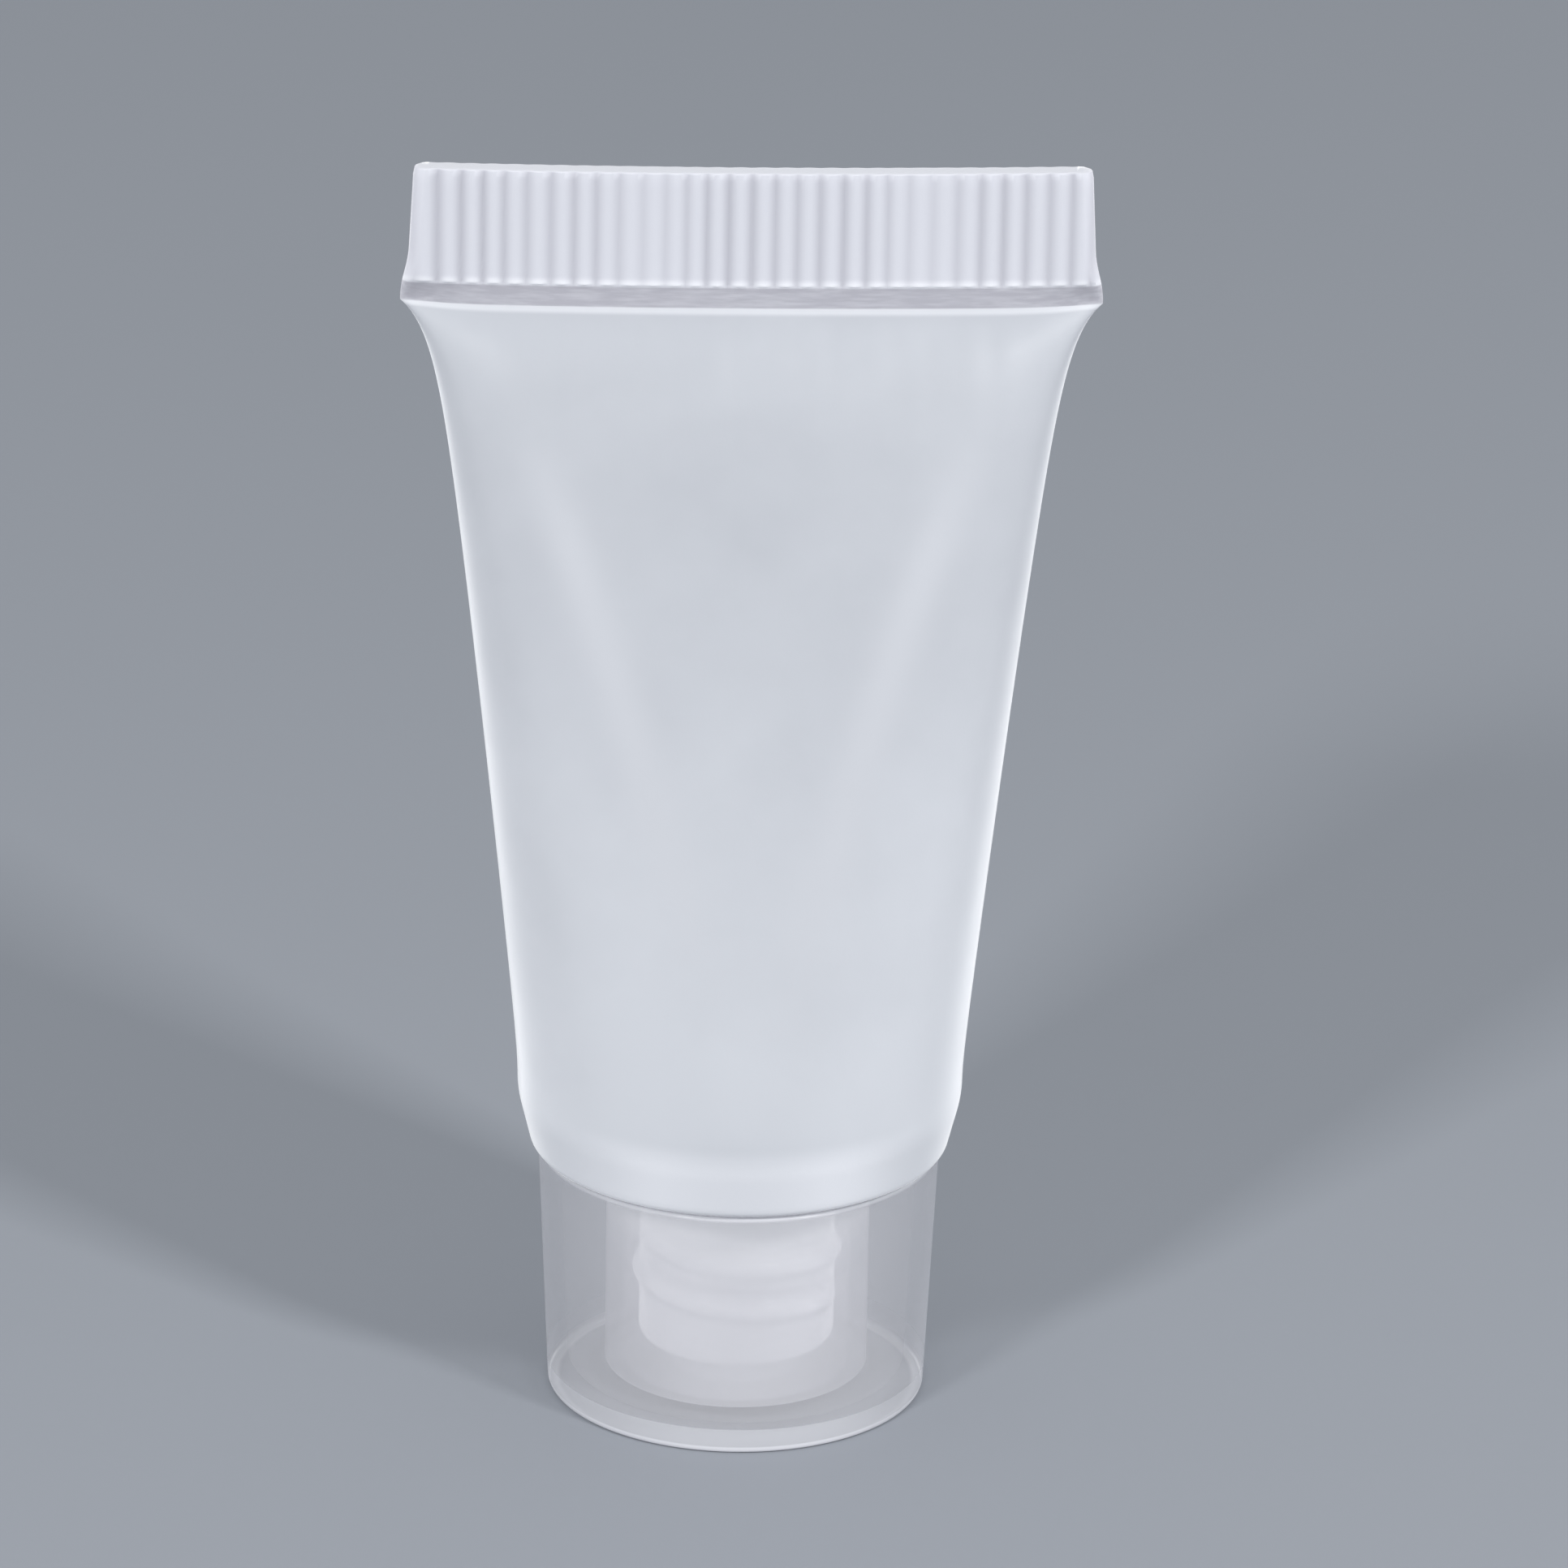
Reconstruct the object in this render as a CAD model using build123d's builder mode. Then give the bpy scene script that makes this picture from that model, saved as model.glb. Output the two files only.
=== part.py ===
# Sample squeeze tube with a screw cap, standing on its cap.
# Millimetres, +Z up. The origin is the centre of the cap's end face, on the surface that the pack stands on.
# The flat seal runs along X, so the tube's broad faces look along -Y and +Y.

import os
from math import ceil, cos, pi, radians, sin, sqrt, tan

from build123d import *

# Cap
cap_height = 11.1
cap_end_diameter = 16.2
cap_rim_diameter = 17.2
cap_wall = 0.9
cap_end_wall = 0.9
cap_edge_bevel = 0.2
collar_wall = 0.8
collar_recess = 0.8
collar_lead_in = 0.3
plug_seat_diameter = 5.2
plug_seat_height = 1.3
plug_length = 0.9
plug_clearance = 0.15
plug_taper = 8.0

# Neck
neck_diameter = 8.4
neck_bore = 6.0
neck_lip = 1.1
neck_lead_in = 0.4
orifice_diameter = 3.0
thread_room = 0.65

# Shoulder
shoulder_gap = 0.15
shoulder_height = 2.95
shoulder_angle = 14.0
shoulder_bend_radius = 4.5
shoulder_edge_bevel = 0.25
shoulder_thickness = 1.4

# Sleeve
tube_diameter = 19.0
wall = 0.45
sleeve_length = 34.75
round_length = 1.5
round_flat = 0.1
flare_length = 10.0
flare_reach = 1.66
flare_share = 0.326

# Seal
band_height = 1.1
rib_height = 4.8
rib_pitch = 0.94
rib_depth = 0.1
seal_thickness = 1.0
seal_foot_inset = 0.15
seal_top_inset = 0.5
seal_corner_radius = 0.3
weld_margin = 0.1

# How finely the wall follows its form: steps in each stage of its height
bend_steps = 2
body_steps = 12
flare_steps = 14

# Sizes that follow from those above
neck_radius = neck_diameter / 2
orifice_radius = orifice_diameter / 2
collar_bore_radius = neck_radius + thread_room
collar_radius = collar_bore_radius + collar_wall
collar_top = cap_height - collar_recess
neck_end = cap_end_wall + plug_seat_height
neck_floor = neck_end + neck_lip
shoulder_underside = cap_height + shoulder_gap
chamber_floor = shoulder_underside + shoulder_thickness
sleeve_base = shoulder_underside + shoulder_height
tube_radius = tube_diameter / 2
wall_middle_radius = tube_radius - wall / 2
seal_base = sleeve_base + sleeve_length
rib_base = seal_base + band_height
round_flattening = round_flat / (pi * wall_middle_radius)
full_flattening = 1 - wall / 2 / wall_middle_radius
seal_width = pi * wall_middle_radius * full_flattening + 2 * wall


def shoulder_radius(height):
    """Outer radius of the shoulder at a height above its underside: a cone that bends into the round sleeve."""
    angle = radians(shoulder_angle)
    bend_rise = shoulder_bend_radius * sin(angle)
    below_sleeve = max(shoulder_height - height, 0)
    if below_sleeve < bend_rise:
        return tube_radius - shoulder_bend_radius + sqrt(shoulder_bend_radius**2 - below_sleeve**2)
    bend_inset = shoulder_bend_radius * (1 - cos(angle))
    return tube_radius - bend_inset - (below_sleeve - bend_rise) * tan(angle)


def flattening(height):
    """How far the sleeve has gone from round (0) to flat (1) at a height above its base.

    The sleeve stays round where the shoulder holds it. Most of the rest is an even taper, and the last share gathers
    close under the seal, where the wall flares out.
    """
    height = min(max(height, 0), sleeve_length)
    gathered = flare_reach / (flare_reach + sleeve_length - height)
    gathered_at_base = flare_reach / (flare_reach + sleeve_length)
    flare = (gathered - gathered_at_base) / (1 - gathered_at_base)
    eased_length = sleeve_length**2 / (sleeve_length + round_length)
    even = height**2 / (height + round_length) / eased_length
    flattened = (1 - flare_share) * even + flare_share * flare
    return round_flattening + (full_flattening - round_flattening) * flattened


def half_section(height, inset):
    """Right half of the tube's outline at a height above the shoulder's underside, drawn in by an inset.

    A straight flat in front and behind and a round end, with the girth of the round tube at every height.
    """
    flat = flattening(height - shoulder_height)
    middle_radius = shoulder_radius(height) - wall / 2
    end_radius = middle_radius * (1 - flat) + wall / 2 - inset
    flat_half = pi / 2 * middle_radius * flat
    with BuildSketch(Plane.XY.offset(shoulder_underside + height)) as outline:
        with BuildLine():
            Line((0, -end_radius), (flat_half, -end_radius))
            ThreePointArc((flat_half, -end_radius), (flat_half + end_radius, 0), (flat_half, end_radius))
            Polyline((flat_half, end_radius), (0, end_radius), (0, -end_radius))
        make_face()
    return outline.sketch


def half_sections(foot, top, inset):
    """Half sections from a foot up to the seal, ever closer together as the wall flares out."""
    flare_base = shoulder_height + sleeve_length - flare_length
    heights = [foot + (shoulder_height - foot) * step / bend_steps for step in range(bend_steps)]
    heights += [shoulder_height + (flare_base - shoulder_height) * step / body_steps for step in range(body_steps)]
    heights += [top - (top - flare_base) * (1 - step / flare_steps) ** 2 for step in range(flare_steps + 1)]
    return [half_section(height, inset) for height in heights]


# Cap: tapered skirt and flat end, threaded collar and sealing plug in one moulding
with BuildPart() as cap:
    cap_draft = (cap_rim_diameter - cap_end_diameter) / 2 / cap_height
    end_radius = cap_end_diameter / 2
    rim_radius = cap_rim_diameter / 2
    floor_radius = end_radius + cap_draft * cap_end_wall - cap_wall
    with BuildSketch(Plane.XZ) as skirt_profile:
        with BuildLine():
            Polyline(
                (0, 0),
                (end_radius, 0),
                (rim_radius, cap_height),
                (rim_radius - cap_wall, cap_height),
                (floor_radius, cap_end_wall),
                (0, cap_end_wall),
                close=True,
            )
        make_face()
        chamfer(skirt_profile.vertices().sort_by(Axis.X)[-2:], length=cap_edge_bevel)
    revolve(axis=Axis.Z)
    with BuildSketch(Plane.XY.offset(cap_end_wall)):
        Circle(collar_radius)
        Circle(collar_bore_radius, mode=Mode.SUBTRACT)
    extrude(amount=collar_top - cap_end_wall)
    collar_mouth = (
        cap.edges()
        .filter_by(GeomType.CIRCLE)
        .filter_by_position(Axis.Z, collar_top, collar_top)
        .sort_by(SortBy.RADIUS)[0]
    )
    chamfer(collar_mouth, length=collar_lead_in)
    with BuildSketch(Plane.XY.offset(cap_end_wall)):
        Circle(plug_seat_diameter / 2)
    extrude(amount=plug_seat_height)
    with BuildSketch(Plane.XY.offset(neck_end)):
        Circle(orifice_radius - plug_clearance)
    extrude(amount=plug_length, taper=plug_taper)

# Ribbed strip: film pressed into even half-round ribs on both faces, cut to the seal's tapered outline
rib_count = ceil(seal_width / rib_pitch)
strip_half = rib_count * rib_pitch / 2
groove_face = seal_thickness / 2 - rib_depth
with BuildPart() as ribbed_strip:
    with BuildSketch(Plane.XY.offset(rib_base)):
        with BuildLine():
            for side in (-1, 1):
                for rib in range(rib_count):
                    left = rib * rib_pitch - strip_half
                    ThreePointArc(
                        (left, side * groove_face),
                        (left + rib_pitch / 2, side * seal_thickness / 2),
                        (left + rib_pitch, side * groove_face),
                    )
            for strip_end in (-strip_half, strip_half):
                Line((strip_end, -groove_face), (strip_end, groove_face))
        make_face()
    extrude(amount=rib_height)
    foot_half = seal_width / 2 - seal_foot_inset
    top_half = seal_width / 2 - seal_top_inset
    with BuildSketch(Plane.XZ) as strip_outline:
        with BuildLine():
            Polyline(
                (-foot_half, rib_base),
                (foot_half, rib_base),
                (top_half, rib_base + rib_height),
                (-top_half, rib_base + rib_height),
                close=True,
            )
        make_face()
        fillet(strip_outline.vertices().group_by(Axis.Y)[-1], radius=seal_corner_radius)
    extrude(amount=seal_thickness, both=True, mode=Mode.INTERSECT)

# Tube: shoulder and sleeve, neck and seal in one piece
with BuildPart() as tube:
    seal_foot = shoulder_height + sleeve_length
    band_top = half_section(seal_foot + band_height, 0)
    shoulder_foot = half_section(0, shoulder_edge_bevel)
    outside = [shoulder_foot] + half_sections(shoulder_edge_bevel, seal_foot, 0) + [band_top]
    loft(sections=outside, ruled=True)
    chamber = half_sections(shoulder_thickness, seal_foot - weld_margin, wall)
    loft(sections=chamber, ruled=True, mode=Mode.SUBTRACT)
    mirror(about=Plane.YZ)
    add(ribbed_strip.part)

    # Neck, its bore and the orifice
    with BuildSketch(Plane.XY.offset(neck_end)):
        Circle(neck_radius)
    extrude(amount=shoulder_underside - neck_end)
    neck_edge = tube.edges().filter_by(GeomType.CIRCLE).sort_by(Axis.Z)[0]
    chamfer(neck_edge, length=neck_lead_in)
    with BuildSketch(Plane.XY.offset(neck_floor)):
        Circle(neck_bore / 2)
    extrude(amount=chamber_floor - neck_floor, mode=Mode.SUBTRACT)
    with BuildSketch(Plane.XY.offset(neck_end)):
        Circle(orifice_radius)
    extrude(amount=neck_lip, mode=Mode.SUBTRACT)

# One file for each piece
os.makedirs("parts", exist_ok=True)
cap.part.label = "cap"
tube.part.label = "tube"
export_step(cap.part, "parts/cap.step")
export_step(tube.part, "parts/tube.step")
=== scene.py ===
"""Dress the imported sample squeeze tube: milky film, a ribbed seal, a see-through screw cap and a studio."""

from math import cos, pi, radians, sin, sqrt, tan

import bpy
import numpy as np
from bpy.props import FloatProperty, FloatVectorProperty, PointerProperty
from bpy.types import NodeSocket, Operator, Panel, PropertyGroup
from mathutils import Matrix, Vector


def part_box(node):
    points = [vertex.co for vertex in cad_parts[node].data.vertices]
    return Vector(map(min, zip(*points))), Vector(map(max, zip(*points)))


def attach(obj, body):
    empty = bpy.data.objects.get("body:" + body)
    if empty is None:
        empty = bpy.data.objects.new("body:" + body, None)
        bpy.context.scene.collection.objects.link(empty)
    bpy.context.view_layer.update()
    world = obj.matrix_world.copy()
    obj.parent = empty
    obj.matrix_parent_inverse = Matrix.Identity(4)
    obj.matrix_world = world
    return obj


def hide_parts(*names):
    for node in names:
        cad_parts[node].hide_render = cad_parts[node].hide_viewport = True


bl_info = {
    "name": "Sample Squeeze Tube",
    "version": (1, 0, 0),
    "blender": (4, 5, 0),
    "location": "3D View > Sidebar > Squeeze Tube",
    "description": "Builds a milky sample tube with a ribbed seal and its see-through screw cap",
    "category": "Add Mesh",
}

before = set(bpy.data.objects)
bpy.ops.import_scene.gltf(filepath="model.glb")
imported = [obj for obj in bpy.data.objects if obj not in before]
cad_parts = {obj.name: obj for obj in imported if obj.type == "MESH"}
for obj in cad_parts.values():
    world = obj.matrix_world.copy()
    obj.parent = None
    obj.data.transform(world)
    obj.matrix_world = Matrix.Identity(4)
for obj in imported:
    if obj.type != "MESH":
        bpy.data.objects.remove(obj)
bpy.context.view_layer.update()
TUBE_LOW, TUBE_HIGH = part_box("tube")
CAP_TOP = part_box("cap")[1].z

# Gap between the cap's rim and the shoulder, in metres
SHOULDER_GAP = 0.00015

# How finely the skins are divided: points round a ring, rows of rings, and how rounded corners are held
FILM_POINTS = 496
NECK_POINTS = 124
CAP_POINTS = 160
STRIP_ROWS = 14
BAND_ROWS = 6
FLARE_ROWS = 30
BODY_ROWS = 40
SHOULDER_ROWS = 14
EDGE_ROWS = 6
NECK_ROWS = 70
FLOOR_BEND_ROWS = 5
CHAMBER_ROWS = 30
CHAMBER_FLARE_ROWS = 24
COLLAR_ROWS = 80
FILLET_STEPS = 6
FILLET_HOLD = 0.00004
CREASE = radians(40)

# The film's soft forms, in metres: rounding above the shoulder, puckers under the seal, the painted highlight
# along the folds, and bow
SOFT_WIDTH = 0.0018
SOFT_RISE = (0.005, 0.015)
PUCKER_HEIGHT = 0.00003
PUCKER_FADE = 0.0022
PUCKER_START = 0.0008
PUCKER_SIDE = 0.004
FOLD_HIGHLIGHT_WIDTH = 0.0011
FOLD_HIGHLIGHT_RISE = (0.004, 0.014)
FOLD_HIGHLIGHT_FALL = (0.010, 0.003)
FLARE_LENGTH = 0.010
BOW_LENGTH = 0.012

# Waves along the seal: each has a height, a pace in radians to the metre and a start
PUCKER_WAVES = ((1.0, 2900, 0.7), (0.8, 4700, 2.0), (0.6, 1300, 4.4))
RIB_DRIFT = ((0.07, 310, 0.6), (0.05, 790, 2.1), (0.04, 1490, 4.0))
RIB_BITE = ((0.2, 520, 1.0), (0.16, 1130, 3.0))
MEAN_BITE = 0.78
GROOVE_POWER = 0.7

# The ribbed strip's fine forms, in metres or as shares
STRIP_EVEN = 0.0004
STRIP_END = 0.00025
WAIST_START = 0.9
WAIST_RISE = 0.0014
RIB_START = 0.00012
BEAD_LOW = 0.0001
BEAD_HIGH = 0.0004
BEAD_RISES = (0.0006, 0.0005, 0.0004, 0.0003, 0.0002, 0.00015, 0.0001, 0.00006, 0.00003, 0)
TOP_EDGE = 0.00006
TOP_FADE = 0.0002
TOP_LOSS = 0.35
END_FADE = 0.0003
END_SHARE = 0.5

# Fillets and run-outs of the mouldings, in metres, the plug's taper, and the thread's run-out in turns
ROOT_FILLET = 0.0003
ROOT_RUN = 0.001
LIP_FILLET = 0.0001
BORE_FILLET = 0.0003
THROAT_FILLET = 0.0004
CHAMBER_FILLET = 0.0008
WELD_GAP = 0.0001
SKIRT_FILLET = 0.0004
COLLAR_FOOT_FILLET = 0.0002
COLLAR_TOP_FILLET = 0.0001
COLLAR_MOUTH_FILLET = 0.0003
COLLAR_MOUTH_RUN = 0.001
COLLAR_FOOT_RUN = 0.0008
SEAT_FILLET = 0.00008
TIP_FILLET = 0.0002
PLUG_TAPER = radians(8.0)
END_POLE = 0.0005
TIP_POLE = 0.0004
THREAD_FADE = 0.08

# Where the film's tones and painted light change: spans of height about the form's own levels, in metres
FILM_START = 0.004
SOLID_SPAN = (0.0005, 0.0021)
LIP_GLOW_SPAN = (-0.0002, 0)
WELD_HIGHLIGHT_SPAN = (-0.00025, -0.0001)
FUSED_SPAN = (-0.00004, 0.00004)
RIBBED_SPAN = (-0.00005, 0.00005)
BEAD_HIGHLIGHT_SPAN = (0.00012, 0.0004)
CUT_SPAN = (-0.00005, -0.00001)

# Where other tones and painted light change, as shares of the size that each is used with
SHOULDER_LIT_FRONT = (0.35, 0.9)
NECK_LIGHT_START = 0.7
COLLAR_LIGHT_START = 0.55
END_SPAN = (1.2, 1.35)
EDGE_SPAN = (1.2, 2)
RIM_DEPTH = 2
EDGE_ON_SPAN = (0.7, 1.0)

# How far clouds, streaks and the painted highlight at the weld change the film's tone, and the part of a
# noise's range that counts
NOISE_SPAN = (0.3, 0.7)
STREAK_SPAN = (0.4, 0.8)
STREAK_WEIGHT = 0.35
STREAK_STRETCH = (0.12, 1.0, 1.0)
CLOUD_WEIGHT = 0.35
WELD_HIGHLIGHT_WEIGHT = 0.6

# Sensor width in millimetres
SENSOR_WIDTH = 36


def length(name, description, default):
    """A size in metres that a user would change."""
    return FloatProperty(
        name=name, description=description, default=default, min=0, unit="LENGTH", precision=5
    )


def share(name, description, default):
    """A share between none and all."""
    return FloatProperty(name=name, description=description, default=default, min=0, max=1, subtype="FACTOR")


def turn(name, description, default):
    """An angle, given in degrees and kept in radians."""
    return FloatProperty(name=name, description=description, default=radians(default), subtype="ANGLE")


def colour(name, description, default):
    """A linear colour."""
    return FloatVectorProperty(
        name=name, description=description, default=default, size=3, min=0, max=1, subtype="COLOR"
    )


def place(name, description, default):
    """A point in the part's frame, in metres."""
    return FloatVectorProperty(
        name=name, description=description, default=default, size=3, subtype="TRANSLATION", unit="LENGTH"
    )


def power(name, description, default):
    """The power of a lamp in watts."""
    return FloatProperty(name=name, description=description, default=default, min=0, unit="POWER")


class TubeSizes(PropertyGroup):
    """Sizes of the tube."""

    diameter: length("Sleeve diameter", "Across the round end of the sleeve", 0.019)
    wall: length("Wall", "Thickness of the film", 0.00045)
    shoulder_base: length("Shoulder base", "Height of the shoulder's underside", CAP_TOP + SHOULDER_GAP)
    shoulder_height: length("Shoulder height", "From the underside to the round sleeve", 0.00295)
    shoulder_angle: turn("Shoulder angle", "Lean of the shoulder's wall", 14.0)
    shoulder_bend: length("Shoulder bend", "Radius of the bend from shoulder to sleeve", 0.0045)
    shoulder_edge: length("Shoulder edge", "Radius of the shoulder's lower edge", 0.0003)
    shoulder_thickness: length("Shoulder thickness", "Of the floor inside the shoulder", 0.0014)
    sleeve_length: length("Sleeve length", "From the shoulder to the seal", 0.03475)
    round_length: length("Round length", "How far up the shoulder keeps the sleeve round", 0.0015)
    round_flat: length("Round flat", "Breadth of the flat that the round end has in front and behind", 0.0001)
    flare_reach: length("Flare reach", "How far below the seal the wall flares out", 0.00166)
    flare_share: share("Flare share", "Part of the flattening that gathers at the flare", 0.326)
    band_height: length("Band height", "Smooth band between the flare and the ribs", 0.00088)
    seal_height: length("Seal height", "Of the ribbed strip", 0.00502)
    seal_bow: length("Seal bow", "How far the strip's ends bend back", 0.00045)
    seal_thickness: length("Seal thickness", "Over the ribs", 0.001)
    seal_waist: length("Seal waist", "How far the ribbed strip stands in from the band", 0.00028)
    seal_taper: length("Seal taper", "How far the strip's sides lean in up to its top", 0.00026)
    seal_corner: length("Seal corner", "Radius of the strip's top corners", 0.00018)
    rib_pitch: length("Rib pitch", "From one rib to the next", 0.00094)
    rib_depth: length("Rib depth", "From a rib's crest to its groove", 0.00011)
    bead: length("Bead", "How far the ribs' lower ends bulge", 0.00005)
    neck_diameter: length("Neck diameter", "Outside, under the thread", 0.0084)
    neck_bore: length("Neck bore", "Inside the neck", 0.006)
    neck_end: length("Neck end", "Height of the neck's lower end", TUBE_LOW.z)
    neck_lip: length("Neck lip", "Thickness of the neck's end wall", 0.0011)
    neck_edge: length("Neck edge", "Bevel round the neck's end", 0.0004)
    orifice: length("Orifice", "Diameter of the hole that the content leaves by", 0.003)
    thread_start: length("Thread start", "Height of the thread's lower end", 0.0042)


class CapSizes(PropertyGroup):
    """Sizes of the cap and of the thread that it shares with the neck."""

    height: length("Height", "From the end face to the rim", CAP_TOP)
    end_diameter: length("End diameter", "Across the end face", 0.0162)
    rim_diameter: length("Rim diameter", "Across the rim", 0.0172)
    wall: length("Wall", "Thickness of the skirt", 0.0009)
    end_wall: length("End wall", "Thickness of the end", 0.0009)
    edge_radius: length("Edge radius", "Of the end's rounded edge", 0.0002)
    rim_radius: length("Rim radius", "Of the rim's rounded edges", 0.00018)
    collar_bore: length("Collar bore", "Across the threaded collar's inside", 0.0097)
    collar_wall: length("Collar wall", "Thickness of the collar", 0.0008)
    collar_recess: length("Collar recess", "How far the collar ends below the rim", 0.0008)
    seat_diameter: length("Seat diameter", "Of the step that the neck's end rests on", 0.0052)
    seat_height: length("Seat height", "Of that step above the floor", 0.0013)
    plug_diameter: length("Plug diameter", "Of the plug that shuts the orifice", 0.0027)
    plug_length: length("Plug length", "Of the plug above its seat", 0.0009)
    thread_pitch: length("Thread pitch", "Rise of the thread in one turn", 0.002)
    thread_height: length("Thread height", "Of the thread's ridge", 0.0003)
    thread_width: length("Thread width", "Of the ridge at its foot", 0.0011)
    thread_turns: FloatProperty(name="Thread turns", description="Turns of the thread", default=1.5, min=0)


class Finish(PropertyGroup):
    """Colours, and how much of what is behind it each part of the cap hides."""

    film: colour("Film", "The sleeve's milky film near the shoulder", (0.533, 0.548, 0.582))
    film_high: colour("Film under the seal", "The thinner film near the seal", (0.424, 0.438, 0.471))
    # Painted highlight along the film's two soft folds
    fold: colour("Fold", "The film along its two soft folds", (0.515, 0.527, 0.56))
    # Whiter where the shoulder is solid, and painted lighter in front and behind than at the sides
    shoulder: colour("Shoulder", "The solid shoulder, in front and behind", (0.735, 0.745, 0.78))
    # Painted light on the shoulder's lower edge, where the shade under the shoulder falls
    lip: colour("Shoulder's lip", "The shoulder's lower edge, which passes light on", (0.90, 0.905, 0.93))
    # Painted highlight for the bright line at the weld; also the tone of the band's light streaks
    weld: colour("Weld", "The bright line where the fused band begins", (0.66, 0.67, 0.70))
    band: colour("Band", "The fused band under the ribs", (0.385, 0.38, 0.42))
    # Painted light on the ribs' crests and painted shade in the grooves, whose film is also thinner
    seal: colour("Seal", "The ribs' crests", (0.61, 0.615, 0.66))
    groove: colour("Groove", "The thin film between the ribs", (0.475, 0.475, 0.52))
    # Painted highlight on the ribs' lower ends
    bead: colour("Bead", "The ribs' lower ends", (0.72, 0.725, 0.76))
    top: colour("Top edge", "The strip's cut top edge", (0.53, 0.535, 0.57))
    neck: colour("Neck", "The threaded neck's thick plastic", (0.87, 0.865, 0.895))
    # Painted light at the neck's root, where the shoulder's shade falls
    lit_neck_root: colour("Neck root", "The neck's root, which the shoulder passes light to", (0.97, 0.965, 0.99))
    cap: colour("Cap", "The cap's clear plastic", (0.71, 0.713, 0.75))
    collar: colour("Collar", "The frosted collar inside the cap", (0.755, 0.75, 0.79))
    # Painted light at the collar's mouth, where the shoulder's shade falls
    mouth: colour("Mouth", "The collar's mouth, which the shoulder passes light to", (0.98, 0.975, 1.0))
    skirt_solidity: share("Skirt solidity", "How much the skirt hides, seen straight on", 0.30)
    wall_solidity: share("Wall solidity", "How much the skirt hides, seen along its wall", 0.5)
    end_solidity: share("End solidity", "How much the cap's solid end hides, seen through the skirt", 0.50)
    face_solidity: share("Face solidity", "How much the end's flat face hides", 0.45)
    edge_solidity: share("Edge solidity", "How much the end's rounded edge hides", 0.75)
    rim_solidity: share("Rim solidity", "How much the cap's rounded rim hides", 0.60)
    lining_solidity: share("Lining solidity", "How much the skirt's inner face hides", 0.09)
    collar_solidity: share("Collar solidity", "How much the collar's wall hides", 0.48)
    mouth_solidity: share("Mouth solidity", "How much the collar's thicker mouth hides", 0.62)
    floor: colour("Floor", "The pale floor", (0.318, 0.336, 0.372))


class Studio(PropertyGroup):
    """Camera and light."""

    aim: place("Aim", "Point that the camera looks at", (0.00167, -0.00018, 0.02755))
    azimuth: turn("Azimuth", "Of the camera round the tube, from its front towards its left", 1.86)
    elevation: turn("Elevation", "Of the camera above the floor", 21.58)
    roll: turn("Roll", "Of the camera about its axis", 0.986)
    distance: length("Distance", "From the camera to its aim", 0.4814)
    lens: FloatProperty(name="Lens", description="Focal length of the camera", default=260.9, unit="CAMERA")
    key_place: place("Key place", "Of the main lamp", (0.322, -0.345, 0.356))
    key_size: length("Key size", "Of the main lamp's face", 0.07)
    key_power: power("Key power", "Of the main lamp", 1.59)
    fill_place: place("Fill place", "Of the second lamp", (-0.288, -0.448, 0.356))
    fill_size: length("Fill size", "Of the second lamp's face", 0.08)
    fill_power: power("Fill power", "Of the second lamp", 1.72)
    side_place: place("Side place", "Of the right-hand soft lamp beside the tube", (0.55, -0.02, 0.16))
    side_size: length("Side size", "Of each side lamp's face", 0.3)
    side_power: power("Side power", "Of each lamp beside the tube", 1.65)
    edge_place: place("Edge place", "Of the right-hand lamp that edges the tube", (0.24, 0.42, -0.16))
    edge_size: length("Edge size", "Of each edge lamp's face", 0.2)
    edge_power: power("Edge power", "Of each lamp that edges the tube", 0.6)
    back_place: place("Back place", "Of the right-hand soft lamp behind the tube", (0.24, 0.42, 0.16))
    back_size: length("Back size", "Of each back lamp's face", 0.2)
    back_power: power("Back power", "Of each soft lamp behind the tube", 0.75)
    glow_place: place("Glow place", "Of the right-hand low lamp before the cap", (0.12, -0.48, 0.13))
    glow_size: length("Glow size", "Of each glow lamp's face", 0.2)
    glow_power: power("Glow power", "Of each low lamp before the cap", 0.34)
    sky: colour("Sky", "Soft light from all round", (0.92, 0.96, 1.0))
    sky_strength: FloatProperty(name="Sky strength", description="Of the soft light", default=0.54, min=0)
    floor_size: length("Floor size", "Side of the floor", 3.0)
    floor_gap: length("Floor gap", "Hair's breadth between the floor and the cap's end face", 0.00002)


def smooth_step(low, high, value):
    """Ease from 0 at low to 1 at high."""
    reach = np.clip((np.asarray(value, float) - low) / (high - low), 0, 1)
    return reach * reach * (3 - 2 * reach)


def ripple(x, waves):
    """Sum of waves, each with a height, a pace and a start."""
    return sum(height * np.sin(pace * x + start) for height, pace, start in waves)


def parts(many):
    """Shares of a whole in even steps, the last of them 1."""
    return [step / many for step in range(1, many + 1)]


def weave(rings):
    """Points and faces of a skin through rings, each with as many points as the next or a multiple."""
    points = np.concatenate(rings)
    faces = []
    start = 0
    for ring, following in zip(rings, rings[1:]):
        many, few = len(ring), len(following)
        beyond = start + many
        ratio = many // few
        for step in range(few):
            ahead = (step + 1) % few
            run = [start + (step * ratio + part) % many for part in range(ratio + 1)]
            faces.append(run + [beyond + ahead, beyond + step])
        start = beyond
    return points, faces


def lid(start, many):
    """Faces that shut a ring of points across its middle, from the front half to the back half."""
    faces = [[start, start + 1, start + many - 1]]
    for step in range(1, many // 2 - 1):
        faces.append([start + step, start + step + 1, start + many - step - 1, start + many - step])
    half = start + many // 2
    faces.append([half - 1, half, half + 1])
    return faces


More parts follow.
